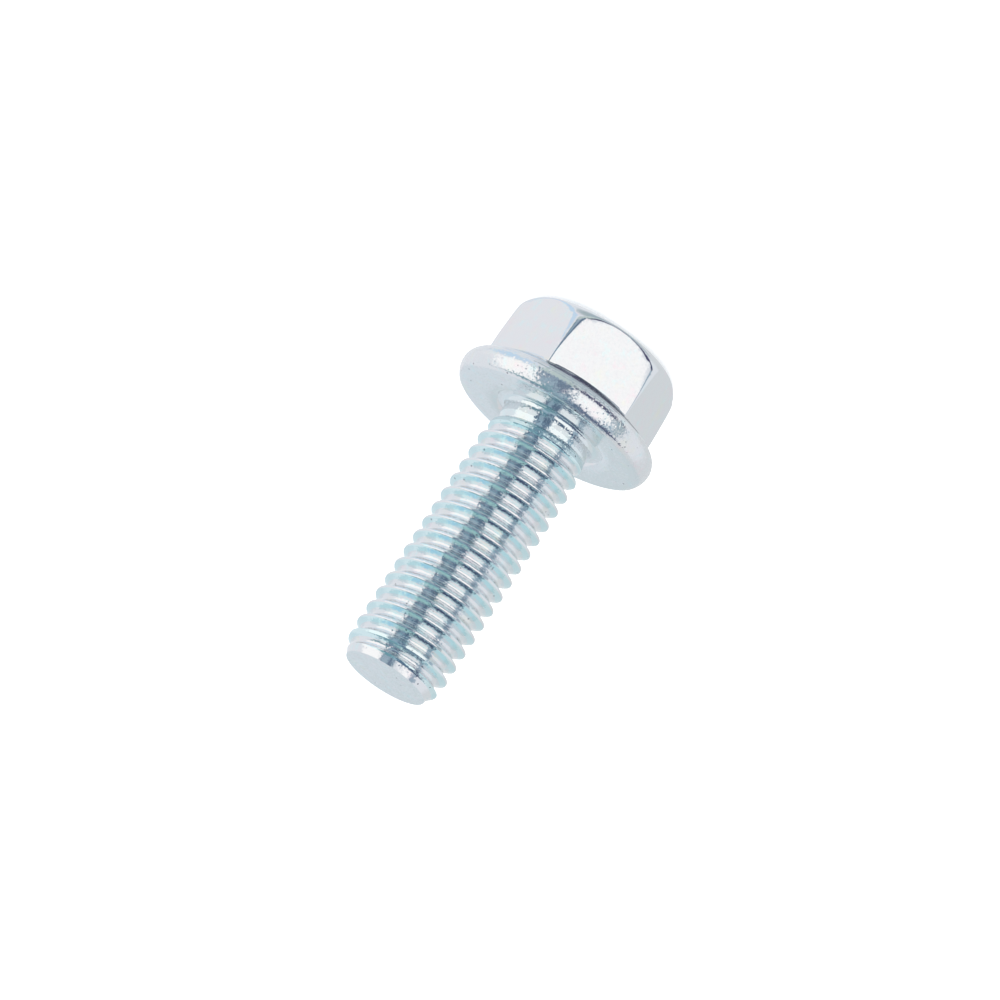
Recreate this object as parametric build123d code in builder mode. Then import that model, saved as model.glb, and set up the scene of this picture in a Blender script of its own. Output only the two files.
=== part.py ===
"""Flange bolt, M8 x 1.25, 22 mm long, cold forged in one piece with a rolled thread.

Millimetres. The origin is the centre of the bearing face and +Z runs along the
shank to its point, so the bolt stands on its head. Heights in the head are
measured from the bearing face to the top of the hexagon, which is down -Z.
"""

from build123d import *
from math import ceil, cos, radians, sqrt, tan
import os

# Thread: right-handed, ISO metric profile
thread_d = 7.87
thread_pitch = 1.25
shank_length = 22.0
crest_at_x = 0.6  # height at which the line of the crest crosses the +X side
neck_length = 1.0  # plain stretch under the head, up to where the crest fades in
crest_fade = 2.4  # from there to the first crest of full height
groove_fade = 1.6  # from there to the full depth of the groove

# Point of the shank
point_d = 6.3
point_chamfer = 0.42
lead_length = 1.7  # last crests, which the dies leave a little low
lead_drop = 0.16  # how much lower they are at the chamfer
lead_blend = 0.1  # height over which they drop to the chamfer

# Hexagon
across_flats = 11.75
head_height = 7.65
corner_round = 0.3
corner_trim = 0.12  # taken off the sharp corners at the foot of the crown
corner_lean = 2.6  # degrees by which the corners close in towards the crown
crown_height = 1.55
crown_width = 1.11  # from the foot of the crown in to the flat top
crown_bulge = 0.25  # how far the crown stands out from a straight chamfer

# Flange
flange_d = 15.7
rim_height = 1.1  # height of the widest circle of the rim
rim_radius = 1.0  # rounding above that circle
rim_setback = 0.475  # from that circle in to the edge of the bearing face
flange_slope = 30.0  # degrees

# Relief round the neck, sunk in the bearing face
relief_d = 9.64
relief_depth = 0.22
relief_lip = 0.5
neck_chamfer = 0.3

# Derived sizes
sharp_height = thread_pitch * sqrt(3) / 2  # of the full V
crest_r = thread_d / 2
root_r = crest_r - sharp_height * 17 / 24
neck_r = crest_r - sharp_height * 3 / 8  # the blank is rolled from the pitch diameter
flank_slope = tan(radians(30))
clearance = 0.1  # how far a cutter reaches past what it cuts
mouth_r = crest_r + clearance
mouth_half = (mouth_r - root_r) * flank_slope
corner_r = across_flats / 2 / cos(radians(30))
rim_r = flange_d / 2
bearing_r = rim_r - rim_setback
relief_r = relief_d / 2
first_groove = crest_at_x - thread_pitch / 2 - thread_pitch * ceil(crest_at_x / thread_pitch)
turns = ceil((shank_length + mouth_half - first_groove) / thread_pitch)

# One turn of the thread groove, with its root on the +X side at height zero
with BuildPart() as groove_turn:
    with BuildLine():
        Helix(pitch=thread_pitch, height=thread_pitch, radius=root_r)
    with BuildSketch(Plane.XZ):
        with BuildLine():
            Polyline((root_r, 0), (mouth_r, mouth_half), (mouth_r, -mouth_half), close=True)
        make_face()
    sweep(is_frenet=True)

# The whole groove, which stays clear of the neck and then comes down to its depth
with BuildPart() as thread_groove:
    with Locations(*[(0, 0, first_groove + thread_pitch * turn) for turn in range(turns)]):
        add(groove_turn.part)
    with BuildSketch(Plane.XZ):
        with BuildLine():
            below = first_groove - thread_pitch
            depth_slope = groove_fade / (neck_r - root_r)
            cone_end = neck_length + groove_fade + clearance * depth_slope
            Polyline(
                (0, below),
                (mouth_r + clearance, below),
                (mouth_r + clearance, neck_length),
                (neck_r, neck_length),
                (root_r - clearance, cone_end),
                (0, cone_end),
                close=True,
            )
        make_face()
    revolve(axis=Axis.Z, mode=Mode.SUBTRACT)

# The hexagon, with rounded edges, inside the solid of revolution that leans its
# corners in and rounds its crown
with BuildPart() as hexagon:
    with BuildSketch(Plane.XY.offset(-rim_height)):
        RegularPolygon(radius=across_flats / 2, side_count=6, major_radius=False)
        fillet(vertices(), radius=corner_round)
    extrude(amount=rim_height - head_height)
    with BuildSketch(Plane.XZ):
        with BuildLine():
            crown_foot = head_height - crown_height
            foot = (corner_r - corner_trim, -crown_foot)
            top = (foot[0] - crown_width, -head_height)
            wide = (foot[0] + crown_foot * tan(radians(corner_lean)), 0)
            crown = SagittaArc(top, foot, crown_bulge, mode=Mode.PRIVATE)
            Polyline(foot, wide, (0, 0), (0, -head_height), top, crown @ 0.5, close=True)
        make_face()
    revolve(axis=Axis.Z, mode=Mode.INTERSECT)

# Flange, neck and shank in one turned form, then the hexagon and the thread
with BuildPart() as flange_bolt:
    with BuildSketch(Plane.XZ):
        with BuildLine():
            rim = (rim_r, -rim_height)
            rim_top = JernArc(rim, (0, -1), rim_radius, flange_slope - 90, mode=Mode.PRIVATE)
            rim_low = TangentArc(rim, (bearing_r, 0), tangent=(0, 1), mode=Mode.PRIVATE)
            slope_height = (rim_top @ 1).X - neck_r
            hub = (neck_r, (rim_top @ 1).Y - slope_height * tan(radians(flange_slope)))
            point_r = point_d / 2
            shoulder = (point_r + point_chamfer, shank_length - point_chamfer)
            Polyline(
                rim_top @ 0, rim_top @ 0.5, rim_top @ 1, hub, (0, hub[1]),
                (0, shank_length), (point_r, shank_length), shoulder,
                (crest_r - lead_drop, shoulder[1] - lead_blend),
                (crest_r, shoulder[1] - lead_length),
                (crest_r, neck_length + crest_fade),
                (neck_r, neck_length),
                (neck_r, neck_chamfer - relief_depth),
                (neck_r + neck_chamfer, -relief_depth),
                (relief_r - relief_lip, -relief_depth),
                (relief_r, 0), (bearing_r, 0), rim_low @ 0.5,
                close=True,
            )
        make_face()
    revolve(axis=Axis.Z)
    add(hexagon.part)
    add(thread_groove.part, mode=Mode.SUBTRACT)

flange_bolt.part.label = "flange_bolt"

os.makedirs("parts", exist_ok=True)
export_step(flange_bolt.part, "parts/flange_bolt.step")
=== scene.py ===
"""Looks of an M8 flange bolt: the forged head, the rolled thread, the zinc finish and the studio.

Everything is in metres, in the frame of the CAD model: the origin is the centre of the
bearing face, +Z runs along the shank to its point, and the bolt stands on its head.
"""

from math import atan2, cos, degrees, floor, hypot, pi, radians, sin, sqrt, tan

import bpy
from mathutils import Matrix, Vector


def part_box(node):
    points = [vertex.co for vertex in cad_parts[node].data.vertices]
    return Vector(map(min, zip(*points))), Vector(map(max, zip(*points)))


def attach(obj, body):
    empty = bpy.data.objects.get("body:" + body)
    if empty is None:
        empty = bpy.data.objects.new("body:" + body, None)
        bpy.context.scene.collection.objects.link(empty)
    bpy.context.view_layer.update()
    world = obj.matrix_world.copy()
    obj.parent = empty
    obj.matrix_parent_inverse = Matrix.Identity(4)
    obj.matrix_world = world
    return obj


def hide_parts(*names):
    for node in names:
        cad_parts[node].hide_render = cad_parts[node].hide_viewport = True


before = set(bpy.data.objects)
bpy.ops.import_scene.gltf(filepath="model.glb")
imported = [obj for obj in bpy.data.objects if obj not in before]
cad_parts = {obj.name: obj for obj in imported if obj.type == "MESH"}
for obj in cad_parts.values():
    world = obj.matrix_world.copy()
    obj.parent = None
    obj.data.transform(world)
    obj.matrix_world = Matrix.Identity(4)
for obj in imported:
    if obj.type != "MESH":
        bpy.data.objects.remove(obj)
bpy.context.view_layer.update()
CAD_LOW, CAD_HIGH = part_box("flange_bolt")

MM = 0.001
FIT = 0.001  # millimetres by which the look stays inside the CAD form
HAIR = 0.001 * MM  # less than any step of the form, to tell places apart
STEPS = 192  # columns of faces round the axis, a multiple of six
SECTOR = radians(60)

bl_info = {
    "name": "Flange bolt",
    "version": (1, 0, 0),
    "blender": (4, 5, 0),
    "location": "3D View > Sidebar > Flange bolt",
    "description": "Models a zinc plated flange bolt and the studio it stands in",
    "category": "Object",
}


# ---------------------------------------------------------------- settings

def length(name, description, millimetres):
    """A length setting, given in millimetres and kept in metres."""
    return bpy.props.FloatProperty(
        name=name, description=description, default=millimetres * MM,
        min=0.0, precision=5, subtype="DISTANCE", unit="LENGTH")


def angle(name, description, turn):
    """An angle setting, given in degrees and kept in radians."""
    return bpy.props.FloatProperty(
        name=name, description=description, default=radians(turn),
        subtype="ANGLE", unit="ROTATION")


def colour(name, description, hex_code):
    """A colour setting, given as an sRGB hex code."""
    return bpy.props.FloatVectorProperty(
        name=name, description=description, default=linear(hex_code)[:3],
        size=3, min=0.0, max=1.0, subtype="COLOR")


def linear(hex_code):
    """Linear RGBA of an sRGB hex code such as "c8d4dc"."""
    channels = [int(hex_code[i:i + 2], 16) / 255 for i in (0, 2, 4)]
    straight = [c / 12.92 if c <= 0.04045 else ((c + 0.055) / 1.055) ** 2.4 for c in channels]
    return (*straight, 1.0)


class HeadSizes(bpy.types.PropertyGroup):
    """Sizes of the forged head, its flange and the relief round the neck."""

    height: length("Head height", "Bearing face to the top of the hexagon", -CAD_LOW[2] / MM - FIT)
    across_flats: length("Across flats", "Width of the hexagon", 11.75)
    corner_round: length("Corner rounding", "Radius of the hexagon's edges near the flange", 0.2)
    corner_round_top: length("Top corner rounding", "Radius of those edges at the crown", 1.1)
    corner_sharp: length("Sharp stretch", "Height up to which the edges stay sharp", 3.4)
    corner_trim: length("Corner trim", "Taken off the corners at the foot of the crown", 0.12)
    corner_lean: angle("Corner lean", "How far the corners close in towards the crown", 2.6)
    crown_height: length("Crown height", "Height of the rounded crown", 1.55)
    crown_width: length("Crown width", "From the foot of the crown in to the flat top", 1.49)
    crown_bulge: length("Crown bulge", "How far the crown stands out from a chamfer", 0.325)
    flat_blend: length("Flat blend", "Rounding between the flats and the crown", 0.06)
    flange_d: length("Flange diameter", "Over the widest circle", -2 * CAD_LOW[0] / MM - FIT)
    rim_height: length("Rim height", "Bearing face to the widest circle", 1.1)
    rim_radius: length("Rim radius", "Rounding above the widest circle", 1.0)
    rim_setback: length("Rim setback", "Widest circle in to the edge of the bearing face", 0.475)
    bearing_edge: length("Bearing edge", "Width of the softened edge of the bearing face", 0.2)
    slope: angle("Flange slope", "Slope of the flange's upper side", 25.5)
    seat_round: length("Seat rounding", "Blend between the hexagon and the flange", 0.12)
    relief_d: length("Relief diameter", "Ring sunk in the bearing face", 9.64)
    relief_depth: length("Relief depth", "Depth of that ring", 0.22)
    relief_lip: length("Relief lip", "Width of the ring's rounded edge", 0.5)
    neck_round: length("Neck rounding", "Fillet between the neck and the relief", 0.4)


class ThreadSizes(bpy.types.PropertyGroup):
    """Sizes of the rolled thread and of the point of the shank."""

    shank: length("Shank length", "Bearing face to the end", CAD_HIGH[2] / MM - FIT)
    crest_d: length("Crest diameter", "Over the crests", 7.87)
    pitch: length("Pitch", "Crest to crest along the axis", 1.25)
    crest_at_x: length("Crest at +X", "Height at which the crest crosses the +X side", 0.6)
    neck: length("Neck length", "Plain stretch under the head", 0.85)
    crest_fade: length("Crest fade", "From the neck to the first full crest", 2.0)
    groove_fade: length("Groove fade", "From the neck to the full depth of the groove", 1.2)
    crest_blend: length("Crest blend", "Rounding where the first crests fade out", 0.06)
    groove_blend: length("Groove blend", "Rounding where the groove runs out", 0.08)
    point_d: length("Point diameter", "Flat end of the shank", 6.48)
    point_chamfer: length("Point chamfer", "Length of the chamfer round the end", 0.55)
    point_drop: length("Point drop", "How much narrower the end is than the chamfer's foot", 0.26)
    lead: length("Lead", "Last crests, which are a little low", 1.7)
    lead_drop: length("Lead drop", "How much lower they are at the chamfer", 0.16)
    lead_end: length("Lead end", "Where the lead turns down to the chamfer's foot", 0.25)


class ZincFinish(bpy.types.PropertyGroup):
    """Colours of the plating and of its passivation film."""

    zinc: colour("Zinc", "Bright zinc under a thin film", "e4e6e9")
    blue: colour("Blue film", "Tint of a thicker film, as on the flanks of the thread", "d8ecef")
    rose: colour("Rose film", "Pink tint of the film", "ecdfe6")
    straw: colour("Straw film", "Yellow tint of the film", "e8e9dc")
    # Dark spots in the pits, and the painted shade of the dark line at the foot of the flats.
    pits_and_painted_shade: colour("Bare spots", "Thin dark zinc in the pits and the foot of the flats", "6c6f7c")
    roughness: bpy.props.FloatProperty(
        name="Roughness", description="Roughness of the plating", default=0.08,
        min=0.0, max=1.0, subtype="FACTOR")


class StudioSettings(bpy.types.PropertyGroup):
    """Camera and surroundings."""

    bearing: angle("Bearing", "Direction of the camera round the bolt, from +X", -83.1)
    lift: angle("Lift", "Height of the camera over the bearing face, as an angle", 17.07)
    roll: angle("Roll", "Lean of the bolt in the camera's view, off upright", 33.22)
    distance: length("Distance", "Camera to the bearing face", 1000.0)
    lens: bpy.props.FloatProperty(
        name="Lens", description="Focal length in millimetres", default=506.0,
        min=1.0, subtype="DISTANCE_CAMERA", unit="CAMERA")
    shift_right: length("Shift right", "Bearing face to the right of the view's centre", 3.415)
    shift_up: length("Shift up", "Bearing face above the view's centre", 5.04)
    floor_size: length("Floor size", "Diameter of the floor", 3000.0)
    paper_glow: bpy.props.FloatProperty(
        name="Paper glow", description="Brightness of the floor that only the camera sees",
        default=0.45, min=0.0, subtype="FACTOR")
    tent: colour("Tent", "White cloth that the metal mirrors", "f3f6fa")


# ---------------------------------------------------------------- profiles

def arc(centre, radius, start, end, count):
    """Points (r, z) on an arc, with angles in degrees."""
    turns = [radians(start + (end - start) * i / count) for i in range(count + 1)]
    return [(centre[0] + radius * cos(a), centre[1] + radius * sin(a)) for a in turns]


def straight(start, end, count):
    """Points (r, z) on a straight line, without its first."""
    (r0, z0), (r1, z1) = start, end
    return [(r0 + (r1 - r0) * i / count, z0 + (z1 - z0) * i / count) for i in range(1, count + 1)]


def soft_max(a, b, blend):
    """The larger of two lengths, rounded over where they are nearly the same."""
    overlap = max(blend - abs(a - b), 0.0) / blend
    return max(a, b) + overlap * overlap * blend / 4


def soft_min(a, b, blend):
    """The smaller of two lengths, rounded over where they are nearly the same."""
    return -soft_max(-a, -b, blend)


def between(value, stops):
    """Straight-line interpolation through (place, result) stops."""
    if value <= stops[0][0]:
        return stops[0][1]
    for (x0, y0), (x1, y1) in zip(stops, stops[1:]):
        if value <= x1:
            return y0 + (y1 - y0) * (value - x0) / (x1 - x0)
    return stops[-1][1]


class HeadForm:
    """Where the walls of the head lie, worked out from its sizes."""

    def __init__(self, head):
        self.apothem = head.across_flats / 2
        self.height = head.height
        # The corners grow rounder from the end of the sharp stretch to just past the crown's foot.
        rise = head.height - head.crown_height - head.corner_sharp
        growth = head.corner_round_top - head.corner_round
        self.rounding = [(head.corner_sharp + i * rise / 8,
                          head.corner_round + growth * (i / 8) ** 1.6) for i in range(10)]

        sharp_corner = self.apothem / cos(SECTOR / 2)
        self.crown_foot = (sharp_corner - head.corner_trim, head.height - head.crown_height)
        self.crown_top = (self.crown_foot[0] - head.crown_width, head.height)
        self.lean = tan(head.corner_lean)
        chord = Vector(self.crown_top) - Vector(self.crown_foot)
        bulge = head.crown_bulge
        self.crown_radius = (chord.length ** 2 / 4 + bulge ** 2) / (2 * bulge)
        middle = (Vector(self.crown_top) + Vector(self.crown_foot)) / 2
        inward = Vector((-chord.y, chord.x)).normalized()
        self.crown_centre = middle + inward * (self.crown_radius - bulge)

        self.rim_r = head.flange_d / 2
        self.rim_centre = (self.rim_r - head.rim_radius, -head.rim_height)
        turn = pi / 2 - head.slope
        self.slope_start = (self.rim_centre[0] + head.rim_radius * cos(turn),
                            self.rim_centre[1] - head.rim_radius * sin(turn))
        self.slope = tan(head.slope)

    def hexagon(self, turn, height):
        """Radius of the hexagon with rounded corners, in the direction turn and at a height."""
        rounding = between(height, self.rounding)
        centre = (self.apothem - rounding) / cos(SECTOR / 2)
        off = abs(turn - SECTOR * floor(turn / SECTOR + 0.5))
        if off > atan2(rounding / 2, centre + rounding * cos(SECTOR / 2)):
            return self.apothem / cos(SECTOR / 2 - off)
        across = centre * sin(off)
        return centre * cos(off) + sqrt(rounding ** 2 - across ** 2)

    def envelope(self, height):
        """Radius of the round form that trims the hexagon, at a height above the bearing face."""
        if height <= self.crown_foot[1]:
            return self.crown_foot[0] + (self.crown_foot[1] - height) * self.lean
        drop = height - self.crown_centre.y
        return self.crown_centre.x + sqrt(max(self.crown_radius ** 2 - drop ** 2, 0.0))

    def flange(self, height):
        """Radius of the flange's slope at a height above the bearing face."""
        return self.slope_start[0] - (height + self.slope_start[1]) / self.slope


def head_profile(head, neck_r, join_z):
    """The turned form of the head, from the neck out to the rim and over to the top's centre."""
    form = HeadForm(head)
    relief = -head.relief_depth
    relief_r = head.relief_d / 2
    lip_radius = (head.relief_lip ** 2 + head.relief_depth ** 2) / (2 * head.relief_depth)
    lip_turn = degrees(atan2(head.relief_lip, lip_radius - head.relief_depth))
    bearing_r = form.rim_r - head.rim_setback
    low_radius = (head.rim_setback ** 2 + head.rim_height ** 2) / (2 * head.rim_setback)
    low_turn = degrees(atan2(head.rim_height, low_radius - head.rim_setback))
    edge = head.bearing_edge
    edge_radius = edge * 1.6
    fillet = head.neck_round

    # Neck, fillet, relief with its rounded lip, and bearing face.
    rows = [(neck_r, join_z)]
    rows += straight((neck_r, join_z), (neck_r, relief + fillet), 3)[:-1]
    rows += arc((neck_r + fillet, relief + fillet), fillet, 180, 270, 8)
    rows += straight(rows[-1], (relief_r - head.relief_lip, relief), 3)
    rows += arc((relief_r, -lip_radius), lip_radius, 90 + lip_turn, 90, 9)[1:]
    rows += straight(rows[-1], (bearing_r - edge, 0.0), 5)

    # Rim, from the softened edge of the bearing face over the widest circle to the slope.
    low_arc = arc((form.rim_r - low_radius, -head.rim_height), low_radius, low_turn, 0, 14)
    rows += arc((bearing_r - edge, -edge_radius), edge_radius, 90, 90 - low_turn, 4)[1:4]
    rows += low_arc[2:]
    rows += arc(form.rim_centre, head.rim_radius, 0, degrees(head.slope) - 90, 14)[1:]

    # Slope, hexagon and crown, with rows that lie close at the seat and in the crown.
    seat_end = 3.05 * MM
    wall_end = 4.3 * MM
    crown_start = form.crown_foot[1] - 0.5 * MM
    height = -form.slope_start[1]
    heights = []
    for top, count in ((seat_end, 38), (wall_end, 5), (crown_start, 6), (head.height, 40)):
        heights += [z for _, z in straight((0, height), (0, top), count)]
        height = top
    rows += [(form.envelope(h), -h) for h in heights[:-2]]

    # The crown rounds over into the flat top.
    rows += [(form.crown_top[0] - 0.03 * MM, -head.height + 0.012 * MM),
             (form.crown_top[0] - 0.12 * MM, -head.height)]
    rows += straight(rows[-1], (0.0, -head.height), 5)
    return rows


# How far the rolled profile leans, in degrees, at shares of a pitch from the middle of a crest to
# the middle of the groove: a narrow crest with rounded edges, a flank of about 60 degrees that
# swells a little, and a wide rounded root.
THREAD_LEANS = ((0.0, 0), (0.040, 4), (0.056, 40), (0.072, 57), (0.120, 60.5), (0.200, 60.5),
                (0.265, 57), (0.330, 49), (0.385, 36), (0.440, 18), (0.500, 0))


def thread_profile(thread):
    """One pitch of the rolled thread, from crest to crest, as (r, offset along the axis)."""
    rows = [(thread.crest_d / 2, 0.0)]
    for (share0, lean0), (share1, lean1) in zip(THREAD_LEANS, THREAD_LEANS[1:]):
        fall = (tan(radians(lean0)) + tan(radians(lean1))) / 2 * (share1 - share0) * thread.pitch
        rows.append((rows[-1][0] - fall, share1 * thread.pitch))
    return rows + [(r, thread.pitch - z) for r, z in rows[-2::-1]]


# ---------------------------------------------------------------- modelling

def start_mesh(name, place):
    """A new mesh piece of one vertex at a place, in edit mode."""
    bpy.ops.object.select_all(action="DESELECT")
    bpy.ops.mesh.primitive_plane_add(size=1 * MM, location=(0, 0, 0))
    piece = bpy.context.object
    piece.name = piece.data.name = name
    bpy.ops.object.mode_set(mode="EDIT")
    bpy.ops.mesh.select_all(action="SELECT")
    bpy.ops.mesh.merge(type="CENTER")
    bpy.ops.transform.translate(value=place)
    return piece


def draw_chain(name, rows):
    """A chain of edges in the XZ plane through the rows, drawn by extruding one vertex."""
    piece = start_mesh(name, (rows[0][0], 0.0, rows[0][1]))
    for (r0, z0), (r1, z1) in zip(rows, rows[1:]):
        move = (r1 - r0, 0.0, z1 - z0)
        bpy.ops.mesh.extrude_vertices_move(TRANSFORM_OT_translate={"value": move})
    bpy.ops.mesh.select_all(action="SELECT")
    return piece


def close_up(piece):
    """Merges doubles, drops flattened faces and turns the faces outwards."""
    bpy.ops.object.mode_set(mode="EDIT")
    bpy.ops.mesh.select_all(action="SELECT")
    bpy.ops.mesh.remove_doubles(threshold=2 * HAIR)
    bpy.ops.mesh.dissolve_degenerate(threshold=HAIR)
    bpy.ops.mesh.select_all(action="SELECT")
    bpy.ops.mesh.normals_make_consistent(inside=False)
    bpy.ops.object.mode_set(mode="OBJECT")


# Columns of faces crowd together towards each corner, whose rounding is narrow: (share of the
# columns from the corner to the middle of the flat, share of the angle).
CROWDING = ((0, 0), (3 / 16, 0.6 / 30), (9 / 16, 5 / 30), (1, 1))


def forge_head(head, neck_r, join_z):
    """The head: a turned form, with the six flats pressed into it."""
    form = HeadForm(head)
    piece = draw_chain("forged_head", head_profile(head, neck_r, join_z))
    bpy.ops.mesh.spin(steps=STEPS, angle=2 * pi, center=(0, 0, 0), axis=(0, 0, 1))
    close_up(piece)

    even_width = 1.2 * MM  # ring round the neck in which the columns spread out from even
    for vertex in piece.data.vertices:
        x, y, z = vertex.co
        radius = hypot(x, y)
        if radius < neck_r * 0.5:
            continue
        turn = atan2(y, x)
        middle = SECTOR * floor(turn / SECTOR + 0.5)
        off = (turn - middle) / (SECTOR / 2)
        close = between(abs(off), CROWDING)
        pull = min(max((radius - neck_r) / even_width, 0.0), 1.0)
        turn = middle + ((1 - pull) * off + pull * (close if off > 0 else -close)) * SECTOR / 2
        height = -z
        if z < form.slope_start[1] - HAIR:
            flats = soft_min(radius, form.hexagon(turn, height), head.flat_blend)
            if radius > form.crown_top[0] - 0.2 * MM:
                radius = soft_max(flats, form.flange(height), head.seat_round)
        vertex.co = (radius * cos(turn), radius * sin(turn), z)
    return piece


def roll_thread(thread, neck_r, join_z):
    """The shank: one pitch of the profile, screwed up the axis and trimmed at either end."""
    spare_turns = 2  # started below the bearing face and trimmed away
    first = thread.crest_at_x - thread.pitch * spare_turns
    rows = thread_profile(thread)
    piece = draw_chain("rolled_shank", [(r, first + z) for r, z in rows])
    bpy.ops.object.mode_set(mode="OBJECT")

    screw = piece.modifiers.new("thread", "SCREW")
    screw.axis = "Z"
    screw.angle = 2 * pi
    screw.screw_offset = thread.pitch
    screw.iterations = int((thread.shank - first) / thread.pitch) + 2
    screw.steps = screw.render_steps = STEPS
    screw.use_merge_vertices = True
    screw.merge_threshold = HAIR
    bpy.ops.object.modifier_apply(modifier=screw.name)

    crest_r = thread.crest_d / 2
    root_r = min(r for r, _ in rows)
    point_r = thread.point_d / 2
    full_crest = thread.neck + thread.crest_fade
    full_groove = thread.neck + thread.groove_fade
    shoulder = thread.shank - thread.point_chamfer
    lead_start = shoulder - thread.lead
    highest = [(thread.neck, neck_r), (full_crest, crest_r), (lead_start, crest_r),
               (shoulder - thread.lead_end, crest_r - thread.lead_drop),
               (shoulder, point_r + thread.point_drop), (thread.shank, point_r)]
    lowest = [(thread.neck, neck_r), (full_groove, root_r - 0.2 * MM)]
    snap = 0.012 * MM  # rows this close to either end are drawn onto it
    for vertex in piece.data.vertices:
        x, y, z = vertex.co
        turn = atan2(y, x)
        if z < join_z + snap:
            z = join_z
        elif z > thread.shank - snap:
            z = thread.shank
        limit = between(z, highest)
        radius = hypot(x, y)
        if z < full_groove:
            radius = soft_max(radius, between(z, lowest), thread.groove_blend)
        if z <= thread.neck:
            radius = neck_r
        elif z < lead_start:
            radius = soft_min(radius, limit, thread.crest_blend)
        else:
            radius = min(radius, limit)
        vertex.co = (radius * cos(turn), radius * sin(turn), z)
    close_up(piece)
    return piece


def cap_point(piece, thread):
    """Closes the end of the shank with a flat face, inset in rings and then poked."""
    bpy.ops.object.select_all(action="DESELECT")
    piece.select_set(True)
    bpy.context.view_layer.objects.active = piece
    bpy.ops.object.mode_set(mode="EDIT")
    bpy.ops.mesh.select_all(action="DESELECT")
    bpy.ops.mesh.select_mode(type="VERT")
    bpy.ops.object.mode_set(mode="OBJECT")
    for vertex in piece.data.vertices:
        vertex.select = vertex.co.z > thread.shank - HAIR
    bpy.ops.object.mode_set(mode="EDIT")
    bpy.ops.mesh.edge_face_add()
    for inset in (0.06 * MM, 0.5 * MM, 1.2 * MM):
        bpy.ops.mesh.inset(thickness=inset, depth=0.0)
    bpy.ops.mesh.poke()
    bpy.ops.object.mode_set(mode="OBJECT")


def open_edges(mesh):
    """How many edges don't have a face on either side."""
    uses = [0] * len(mesh.edges)
    for loop in mesh.loops:
        uses[loop.edge_index] += 1
    return sum(use != 2 for use in uses)


# ---------------------------------------------------------------- finish

TIMES = {"operation": "MULTIPLY"}
TIMES_PLUS = {"operation": "MULTIPLY_ADD"}
SMOOTH = {"interpolation_type": "SMOOTHSTEP"}
COLOURS = {"data_type": "RGBA"}


def empty_tree(block):
    """The node tree of a material or world, emptied."""
    block.use_nodes = True
    block.node_tree.nodes.clear()
    return block.node_tree


def add_node(tree, kind, settings=None, **inputs):
    """Adds a node with its settings, and sets or links its inputs.

    An input is given by its name, or as _0, _1 and so on where several in use share a name.
    A node given as an input lends its first output in use.
    """
    node = tree.nodes.new("ShaderNode" + kind)
    for key, value in (settings or {}).items():
        setattr(node, key, value)
    used = [socket for socket in node.inputs if socket.enabled]
    for key, value in inputs.items():
        if key[1:].isdigit():
            socket = used[int(key[1:])]
        else:
            socket = next(socket for socket in used if socket.name == key.replace("_", " "))
        if isinstance(value, bpy.types.Node):
            value = next(output for output in value.outputs if output.enabled)
        if isinstance(value, bpy.types.NodeSocket):
            tree.links.new(value, socket)
        else:
            socket.default_value = value
    return node


def window(tree, value, low, high, edge):
    """A mask that is 1 where a value lies from low to high, with soft edges outside them."""
    rising = add_node(tree, "MapRange", SMOOTH, Value=value, From_Min=low - edge, From_Max=low)
    falling = add_node(tree, "MapRange", SMOOTH, Value=value, From_Min=high, From_Max=high + edge,
                       To_Min=1.0, To_Max=0.0)
    return add_node(tree, "Math", TIMES, _0=rising, _1=falling)


def find_regions(tree, head, thread):
    """The place on the bolt in millimetres, and masks of the regions whose skin differs."""
    crest_r = thread.crest_d / 2 / MM
    rim_r = head.flange_d / 2 / MM
    neck_end = thread.neck / MM
    shank_end = thread.shank / MM
    widest_z = -head.rim_height / MM

    metres = add_node(tree, "TexCoord").outputs["Object"]
    place = add_node(tree, "VectorMath", {"operation": "SCALE"}, _0=metres, Scale=1 / MM)
    x, y, z = add_node(tree, "SeparateXYZ", Vector=place).outputs
    flat = add_node(tree, "CombineXYZ", X=x, Y=y)
    radius = add_node(tree, "VectorMath", {"operation": "LENGTH"}, _0=flat)

    threaded = window(tree, z, low=neck_end + 0.35, high=shank_end - 0.5, edge=0.5)
    half_deep = window(tree, radius, low=crest_r - 0.395, high=crest_r - 0.095, edge=0.08)
    flanks = add_node(tree, "Math", TIMES, _0=threaded, _1=half_deep)

    outer = add_node(tree, "MapRange", SMOOTH, Value=radius, From_Min=rim_r - 0.945,
                     From_Max=rim_r - 0.495)
    edge_on = window(tree, z, low=widest_z - 0.5, high=-0.05, edge=0.1)
    rim = add_node(tree, "Math", TIMES, _0=outer, _1=edge_on)

    in_fillet = add_node(tree, "MapRange", SMOOTH, Value=radius, From_Min=crest_r - 0.135,
                         From_Max=crest_r + 0.065, To_Min=1.0, To_Max=0.0)
    under_head = window(tree, z, low=-0.4, high=neck_end + 0.45, edge=0.4)
    neck = add_node(tree, "Math", TIMES, _0=under_head, _1=in_fillet)
    return {"place": place, "x": x, "y": y, "z": z, "flat": flat, "radius": radius,
            "thread": threaded, "flanks": flanks, "rim": rim, "neck": neck}


def height_over_slope(tree, at, head):
    """How far a place lies over the slope of the flange, in millimetres."""
    form = HeadForm(head)
    slope = add_node(tree, "Math", TIMES_PLUS, _0=at["radius"], _1=form.slope,
                     _2=(form.slope_start[1] - form.slope_start[0] * form.slope) / MM)
    return add_node(tree, "Math", {"operation": "SUBTRACT"}, _0=slope, _1=at["z"])


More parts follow.
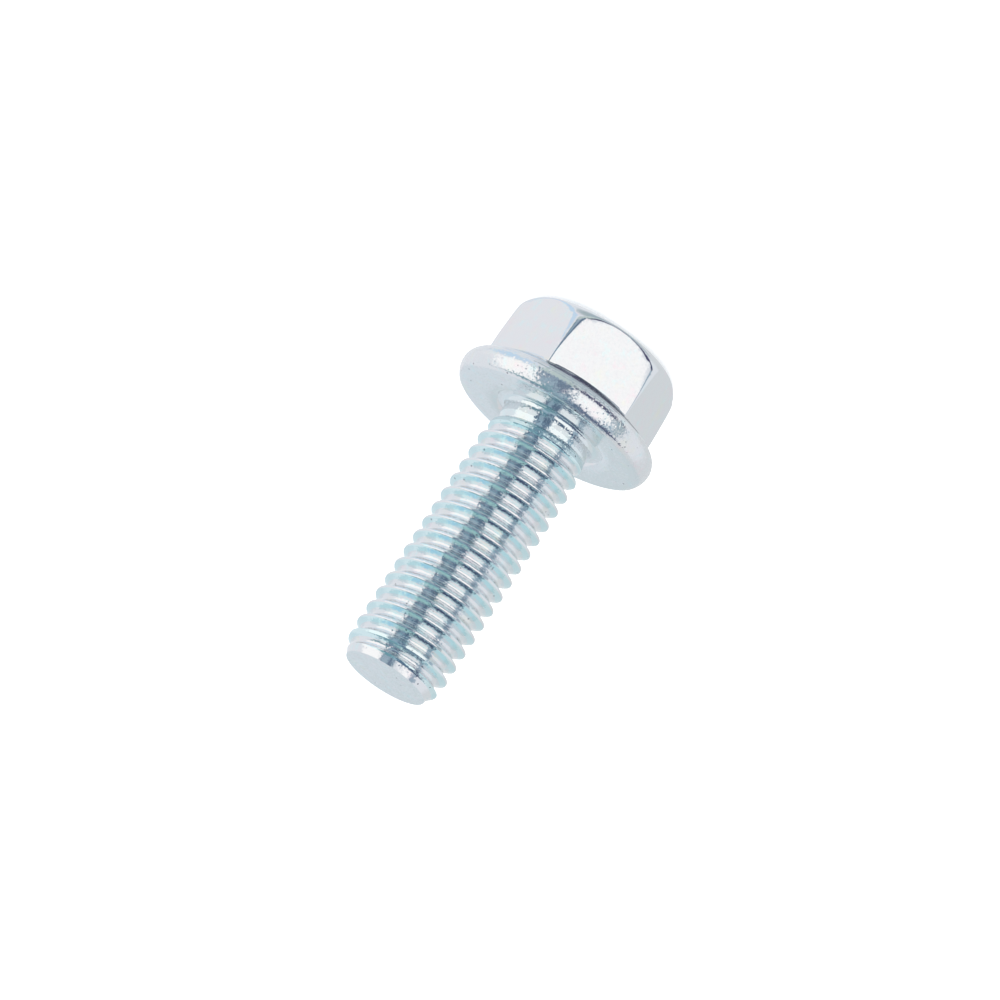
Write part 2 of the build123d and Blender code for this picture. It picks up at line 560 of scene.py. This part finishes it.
def film_colour(tree, finish, at, cloud, over_slope):
    """Colour of the film: in drifts a millimetre across, bluer on the thread, dark in spots, with
    painted shade at the foot of the flats.
    """
    rosy = add_node(tree, "MapRange", SMOOTH, Value=cloud, From_Min=0.53, From_Max=0.83)
    bluish = add_node(tree, "MapRange", SMOOTH, Value=cloud, From_Min=0.20, From_Max=0.48,
                      To_Min=1.0, To_Max=0.0)
    drift = add_node(tree, "TexNoise", {"noise_dimensions": "4D"}, Vector=at["place"], W=4.0,
                     Scale=0.7, Detail=3.0, Roughness=0.6)
    strawy = add_node(tree, "MapRange", SMOOTH, Value=drift, From_Min=0.52, From_Max=0.90)
    faint = add_node(tree, "Math", TIMES, _0=at["neck"], _1=0.35)

    # Painted shade: a thin dark line in the sharp corner at the foot of the flats, on the flats
    # that face +Y and -Y. The line widens a little along them.
    along = add_node(tree, "Math", TIMES_PLUS, _0=at["x"], _1=-0.012, _2=over_slope)
    foot = window(tree, along, low=0.02, high=0.03, edge=0.035)
    off_middle = add_node(tree, "Math", {"operation": "ABSOLUTE"}, _0=at["y"])
    sides = add_node(tree, "MapRange", SMOOTH, Value=off_middle, From_Min=5.6, From_Max=5.8)
    # Mask of the painted shade line in the corner at the foot of the flats.
    corner = add_node(tree, "Math", TIMES, _0=foot, _1=sides)

    # A few fine pits, a tenth of a millimetre wide, where the zinc didn't take on the shank and
    # the flange.
    spread = add_node(tree, "TexVoronoi", Vector=at["place"], Scale=0.9)
    spots = add_node(tree, "MapRange", SMOOTH, Value=spread, From_Min=0.04, From_Max=0.08,
                     To_Min=1.0, To_Max=0.0)
    off_hexagon = add_node(tree, "MapRange", SMOOTH, Value=at["z"], From_Min=-2.0, From_Max=-1.8)
    pits = add_node(tree, "Math", TIMES, _0=spots, _1=off_hexagon)

    film = (*finish.zinc, 1.0)
    # The last two mixes darken the pits and paint shade into the corner at the foot of the flats.
    for amount, tint in ((rosy, finish.rose), (bluish, finish.blue), (strawy, finish.straw),
                         (at["flanks"], finish.blue), (faint, finish.blue),
                         (corner, finish.pits_and_painted_shade), (pits, finish.pits_and_painted_shade)):
        film = add_node(tree, "Mix", COLOURS, Factor=amount, A=film, B=(*tint, 1.0))
    return film


def grain_normal(tree, at):
    """Normal of the grained skin, in which every grain leans its own way.

    Real grains are a few hundredths of a millimetre across, which is too fine to show, so they
    are drawn as cells of a tenth. They lean most on the forged rim, and a few lean much more
    than the rest.
    """
    cells = add_node(tree, "TexVoronoi", Vector=at["place"], Scale=8.5).outputs["Color"]
    leans = add_node(tree, "VectorMath", {"operation": "SUBTRACT"}, _0=cells, _1=(0.5, 0.5, 0.5))
    chance = add_node(tree, "SeparateXYZ", Vector=cells).outputs["Z"]
    rare = add_node(tree, "Math", {"operation": "POWER"}, _0=chance, _1=6.0)
    rare = add_node(tree, "Math", TIMES_PLUS, _0=rare, _1=2.6, _2=0.75)
    leans = add_node(tree, "VectorMath", {"operation": "SCALE"}, _0=leans, Scale=rare)

    lean = 0.03
    for region, more in ((at["rim"], 0.105), (at["thread"], 0.055), (at["neck"], 0.06)):
        lean = add_node(tree, "Math", TIMES_PLUS, _0=region, _1=more, _2=lean)
    leaning = add_node(tree, "VectorMath", {"operation": "SCALE"}, _0=leans, Scale=lean)
    smooth = add_node(tree, "NewGeometry").outputs["Normal"]
    grainy = add_node(tree, "VectorMath", {"operation": "ADD"}, _0=leaning, _1=smooth)
    return add_node(tree, "VectorMath", {"operation": "NORMALIZE"}, _0=grainy)


def roller_lines(tree, at, thread):
    """Height of the lines that the rollers leave, 0.04 mm wide and some millimetres long."""
    turn = add_node(tree, "Math", {"operation": "ARCTAN2"}, _0=at["y"], _1=at["x"])
    pitch = thread.pitch / MM
    climb = add_node(tree, "Math", TIMES_PLUS, _0=turn, _1=-pitch / (2 * pi), _2=at["z"])
    past_crest = add_node(tree, "Math", {"operation": "SUBTRACT"}, _0=climb,
                          _1=thread.crest_at_x / MM)
    turns = add_node(tree, "Math", {"operation": "DIVIDE"}, _0=past_crest, _1=pitch)
    share = add_node(tree, "Math", {"operation": "FRACT"}, _0=turns)

    lines_to_pitch = 30.0
    along = add_node(tree, "VectorMath", {"operation": "NORMALIZE"}, _0=at["flat"])
    across = add_node(tree, "CombineXYZ", Z=share)
    stretched = add_node(tree, "VectorMath", TIMES_PLUS, _0=across,
                         _1=(0.0, 0.0, lines_to_pitch), _2=along)
    drifting = add_node(tree, "VectorMath", TIMES_PLUS, _0=at["place"], _1=(0.25, 0.25, 0.25),
                        _2=stretched)
    return add_node(tree, "TexNoise", {"noise_dimensions": "3D"}, Vector=drifting, Scale=1.0,
                    Detail=2.0, Roughness=0.5)


def die_rings(tree, at, over_slope):
    """Height of the rings that the die leaves on the slope of the flange, and their mask."""
    ring_pitch = 0.22  # millimetres
    phase = add_node(tree, "Math", TIMES, _0=at["z"], _1=2 * pi / ring_pitch)
    rings = add_node(tree, "Math", {"operation": "SINE"}, _0=phase)
    above_rim = window(tree, at["z"], low=-2.6, high=-1.6, edge=0.12)
    on_slope = add_node(tree, "MapRange", SMOOTH, Value=over_slope, From_Min=0.01, From_Max=0.04,
                        To_Min=1.0, To_Max=0.0)
    return rings, add_node(tree, "Math", TIMES, _0=above_rim, _1=on_slope)


def zinc_material(finish, head, thread):
    """Bright zinc plating with a blue passivation, on cold forged and rolled steel.

    It mirrors like a metal and follows the skin under it. The forged skin of the rim is grained,
    so the dark and light it mirrors break up into specks. The hexagon, trimmed in a die, is
    smooth, and the die leaves faint rings round its seat. The rollers leave fine lines along the
    thread, and the film is thicker and bluer on its flanks. Elsewhere the film drifts from blue
    to rose and straw.
    """
    material = bpy.data.materials.new("blue_passivated_zinc")
    tree = empty_tree(material)
    at = find_regions(tree, head, thread)
    over_slope = height_over_slope(tree, at, head)
    cloud = add_node(tree, "TexNoise", {"noise_dimensions": "3D"}, Vector=at["place"], Scale=1.1,
                     Detail=4.0, Roughness=0.65)
    film = film_colour(tree, finish, at, cloud, over_slope)

    # Waves half a millimetre across, which are strong on the rim and faint elsewhere.
    waves = add_node(tree, "TexNoise", {"noise_dimensions": "3D"}, Vector=at["place"], Scale=2.2,
                     Detail=3.0, Roughness=0.6)
    wavy = add_node(tree, "Math", TIMES_PLUS, _0=at["rim"], _1=0.9, _2=0.1)
    lined = add_node(tree, "Math", TIMES, _0=at["thread"], _1=0.55)
    rings, ringed = die_rings(tree, at, over_slope)
    normal = grain_normal(tree, at)
    for height, depth, strength in ((waves, 0.02 * MM, wavy),
                                    (roller_lines(tree, at, thread), 0.011 * MM, lined),
                                    (rings, 0.009 * MM, ringed)):
        normal = add_node(tree, "Bump", Strength=strength, Distance=depth, Height=height,
                          Normal=normal)

    gloss = add_node(tree, "MapRange", Value=cloud, From_Min=0.3, From_Max=0.7,
                     To_Min=finish.roughness * 0.8, To_Max=finish.roughness * 1.3)
    gloss = add_node(tree, "Math", TIMES_PLUS, _0=at["rim"], _1=0.09, _2=gloss)
    plating = add_node(tree, "BsdfPrincipled", Base_Color=film, Metallic=1.0, Roughness=gloss,
                       Normal=normal)
    add_node(tree, "OutputMaterial", Surface=plating)
    return material


# ---------------------------------------------------------------- studio

def add_floor(studio):
    """A plain white floor that the head stands on."""
    bpy.ops.object.select_all(action="DESELECT")
    bpy.ops.mesh.primitive_circle_add(vertices=64, radius=studio.floor_size / 2, fill_type="NGON",
                                      location=(0, 0, CAD_LOW[2]))
    ground = bpy.context.object
    ground.name = "studio_floor"
    bpy.ops.object.transform_apply(location=True, rotation=True, scale=True)
    paper = bpy.data.materials.new("white_paper")
    tree = empty_tree(paper)
    lit = add_node(tree, "BsdfDiffuse", Color=linear("ffffff"))
    # The camera sees the paper a little brighter than it is lit, so that it stays white.
    seen = add_node(tree, "LightPath").outputs["Is Camera Ray"]
    extra = add_node(tree, "Math", TIMES, _0=seen, _1=studio.paper_glow)
    glow = add_node(tree, "Emission", Strength=extra)
    both = add_node(tree, "AddShader", _0=lit, _1=glow)
    add_node(tree, "OutputMaterial", Surface=both)
    ground.data.materials.append(paper)
    ground.visible_glossy = False  # the metal mirrors the table of the tent in its place


def camera_axes(studio):
    """The direction from the bolt to the camera, and the right and up of its view."""
    level = cos(studio.lift)
    towards = Vector((cos(studio.bearing) * level, sin(studio.bearing) * level, sin(studio.lift)))
    head_way = Vector((0, 0, -1))
    head_up = (head_way - towards * head_way.dot(towards)).normalized()
    side = head_up.cross(towards)
    right = head_up * sin(studio.roll) + side * cos(studio.roll)
    up = head_up * cos(studio.roll) - side * sin(studio.roll)
    return towards, right, up


def add_camera(studio):
    """The camera, a little on the point's side of the bolt and leaning so that the head is up."""
    towards, right, up = camera_axes(studio)
    eye = towards * studio.distance
    target = right * -studio.shift_right + up * -studio.shift_up
    back = (eye - target).normalized()
    across = (right - back * right.dot(back)).normalized()
    upward = back.cross(across)
    data = bpy.data.cameras.new("camera")
    data.lens = studio.lens
    data.sensor_width = 36.0
    data.clip_start = 0.01
    data.clip_end = 10.0
    camera = bpy.data.objects.new("camera", data)
    bpy.context.collection.objects.link(camera)
    camera.matrix_world = Matrix((
        (across.x, upward.x, back.x, eye.x),
        (across.y, upward.y, back.y, eye.y),
        (across.z, upward.z, back.z, eye.z),
        (0, 0, 0, 1)))
    bpy.context.scene.camera = camera


# What stands in the white tent that the metal mirrors, each thing laid over those before it: its
# colour and strength, the bearings it spans from the camera's side, the heights it spans over the
# level of the bearing face, the width of its soft edges, all in degrees, and how much its top edge
# rises with the bearing.
TENT_THINGS = (
    ("duller cloth behind, to the right", "e3e7e9", 1.0, (128, 200), (-50, 60), 22, 0.0),
    ("table under the bolt", "b3c3ca", 1.0, (-200, 200), (-100, -70), 14, 0.0),
    ("open top", "8c9dae", 1.0, (-200, 200), (70, 100), 12, 0.0),
    ("shade over the front", "667b93", 1.0, (-84, 76), (46, 100), 4, 0.0),
    ("grey cloth behind, right half", "d6e1e5", 1.0, (152, 200), (4, 32), 8, 0.0),
    ("grey cloth behind, left half", "e2ebf1", 1.0, (-200, -152), (4, 32), 8, 0.0),
    ("bluer foot of the left side", "d6ecff", 1.0, (-114, -60), (-45, -22), 4, 0.0),
    ("bright cloth at the far left", "fafafd", 1.0, (-120, -96), (-20, -8), 4, 0.0),
    ("front of the table", "cbdbd8", 1.0, (-44, -2), (-60, -26), 6, 0.0),
    ("gap that the camera looks through", "a8bfcd", 1.0, (-34, -4), (-23, 100), 8, 0.0),
    ("lower part of the gap", "9cb1c2", 1.0, (-36, -12), (-23, 0), 8, 0.0),
    ("haze over the left of the gap", "7da3af", 1.0, (-104, -22), (42, 84), 7, 0.0),
    ("camera and its stand", "6e8298", 1.0, (-14, -6), (-24, 34), 7, 0.0),
    ("left edge of the gap", "6b7e94", 1.0, (-38, -36), (-24, 30), 4, 0.0),
    ("stand beside the right screen", "a6b9c8", 1.0, (57, 69), (-24, 70), 4, 0.0),
    ("dark edge of the table", "5b5c79", 1.0, (0, 60), (-50, -32), 3, 0.0),
    ("dark corner of the table", "5c627b", 1.0, (50, 71), (-48, -29), 4, 0.0),
    ("shade over the right screen", "59617c", 1.0, (60, 104), (44, 72), 5, 0.0),
    ("left screen", "fffdfb", 1.2, (-90, -47), (-12, 44), 9, 0.0),
    ("right screen", "fffdfb", 1.2, (6, 47), (-17, 27), 6, 0.15),
)


def light_world(studio):
    """The light: plain white, which the metal sees as a tent with two bright screens."""
    world = bpy.data.worlds.new("studio")
    bpy.context.scene.world = world
    tree = empty_tree(world)
    way = add_node(tree, "TexCoord").outputs["Generated"]
    towards = (cos(studio.bearing), sin(studio.bearing), 0)
    sideways = (sin(studio.bearing), -cos(studio.bearing), 0)
    front = add_node(tree, "VectorMath", {"operation": "DOT_PRODUCT"}, _0=way, _1=towards)
    side = add_node(tree, "VectorMath", {"operation": "DOT_PRODUCT"}, _0=way, _1=sideways)
    bearing = add_node(tree, "Math", {"operation": "ARCTAN2"}, _0=side, _1=front)
    rise = add_node(tree, "SeparateXYZ", Vector=way).outputs["Z"]
    height = add_node(tree, "Math", {"operation": "ARCSINE"}, _0=rise)

    mirrored = (*studio.tent, 1.0)
    for _, hex_code, strength, bearings, heights, edge, tilt in TENT_THINGS:
        left, right = map(radians, bearings)
        low, high = map(radians, heights)
        soft = radians(edge)
        level = add_node(tree, "Math", TIMES_PLUS, _0=bearing, _1=-tilt, _2=height)
        bottom = add_node(tree, "MapRange", SMOOTH, Value=height, From_Min=low - soft, From_Max=low)
        top = add_node(tree, "MapRange", SMOOTH, Value=level, From_Min=high, From_Max=high + soft,
                       To_Min=1.0, To_Max=0.0)
        tall = add_node(tree, "Math", TIMES, _0=bottom, _1=top)
        wide = window(tree, bearing, left, right, soft)
        within = add_node(tree, "Math", TIMES, _0=wide, _1=tall)
        tint = tuple(channel * strength for channel in linear(hex_code))
        mirrored = add_node(tree, "Mix", COLOURS, Factor=within, A=mirrored, B=tint)

    rays = add_node(tree, "LightPath").outputs
    by_metal = add_node(tree, "Math", {"operation": "MAXIMUM"}, _0=rays["Is Glossy Ray"],
                        _1=rays["Is Transmission Ray"])
    seen = add_node(tree, "Mix", COLOURS, Factor=by_metal, A=linear("ffffff"), B=mirrored)
    air = add_node(tree, "Background", Color=seen, Strength=1.0)
    add_node(tree, "OutputWorld", Surface=air)


# ---------------------------------------------------------------- operators

class BOLT_OT_forge(bpy.types.Operator):
    """Model the bolt: forge its head, roll its thread and join them at the neck"""

    bl_idname = "bolt.forge"
    bl_label = "Forge bolt"

    def execute(self, context):
        head, thread = context.scene.bolt_head, context.scene.bolt_thread
        sharp_height = thread.pitch * sqrt(3) / 2  # of a thread with neither flats nor roundings
        neck_r = thread.crest_d / 2 - sharp_height * 3 / 8  # the blank that the thread is rolled on
        join_z = thread.neck / 2
        bolt = forge_head(head, neck_r, join_z)
        shank = roll_thread(thread, neck_r, join_z)
        cap_point(shank, thread)
        bpy.ops.object.select_all(action="DESELECT")
        bolt.select_set(True)
        shank.select_set(True)
        context.view_layer.objects.active = bolt
        bpy.ops.object.join()
        bolt.name = bolt.data.name = "zinc_flange_bolt"
        close_up(bolt)
        if open_edges(bolt.data):
            raise RuntimeError(f"the bolt has {open_edges(bolt.data)} edges that don't close")
        bpy.ops.object.shade_smooth_by_angle(angle=radians(38))
        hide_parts("flange_bolt")
        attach(bolt, "root")
        return {"FINISHED"}


class BOLT_OT_plate(bpy.types.Operator):
    """Give the bolt its zinc plating"""

    bl_idname = "bolt.plate"
    bl_label = "Plate bolt"

    def execute(self, context):
        scene = context.scene
        plating = zinc_material(scene.bolt_finish, scene.bolt_head, scene.bolt_thread)
        bolt = bpy.data.objects["zinc_flange_bolt"]
        bolt.data.materials.clear()
        bolt.data.materials.append(plating)
        return {"FINISHED"}


class BOLT_OT_studio(bpy.types.Operator):
    """Set up the floor, the camera and the light"""

    bl_idname = "bolt.studio"
    bl_label = "Set up studio"

    def execute(self, context):
        studio = context.scene.bolt_studio
        context.scene.view_settings.view_transform = "Standard"
        add_floor(studio)
        add_camera(studio)
        light_world(studio)
        return {"FINISHED"}


class BOLT_PT_panel(bpy.types.Panel):
    """Steps that build the bolt and its studio"""

    bl_idname = "BOLT_PT_panel"
    bl_label = "Flange bolt"
    bl_space_type = "VIEW_3D"
    bl_region_type = "UI"
    bl_category = "Flange bolt"

    def draw(self, context):
        for operator in OPERATORS:
            self.layout.operator(operator.bl_idname)


SETTINGS = {"bolt_head": HeadSizes, "bolt_thread": ThreadSizes,
            "bolt_finish": ZincFinish, "bolt_studio": StudioSettings}
OPERATORS = (BOLT_OT_forge, BOLT_OT_plate, BOLT_OT_studio)


def register():
    for name, group in SETTINGS.items():
        bpy.utils.register_class(group)
        setattr(bpy.types.Scene, name, bpy.props.PointerProperty(type=group))
    for cls in (*OPERATORS, BOLT_PT_panel):
        bpy.utils.register_class(cls)


def unregister():
    for cls in reversed((*OPERATORS, BOLT_PT_panel)):
        bpy.utils.unregister_class(cls)
    for name, group in reversed(SETTINGS.items()):
        delattr(bpy.types.Scene, name)
        bpy.utils.unregister_class(group)


def main():
    """Build the bolt and its studio."""
    register()
    bpy.ops.bolt.forge()
    bpy.ops.bolt.plate()
    bpy.ops.bolt.studio()


if __name__ == "__main__":
    main()
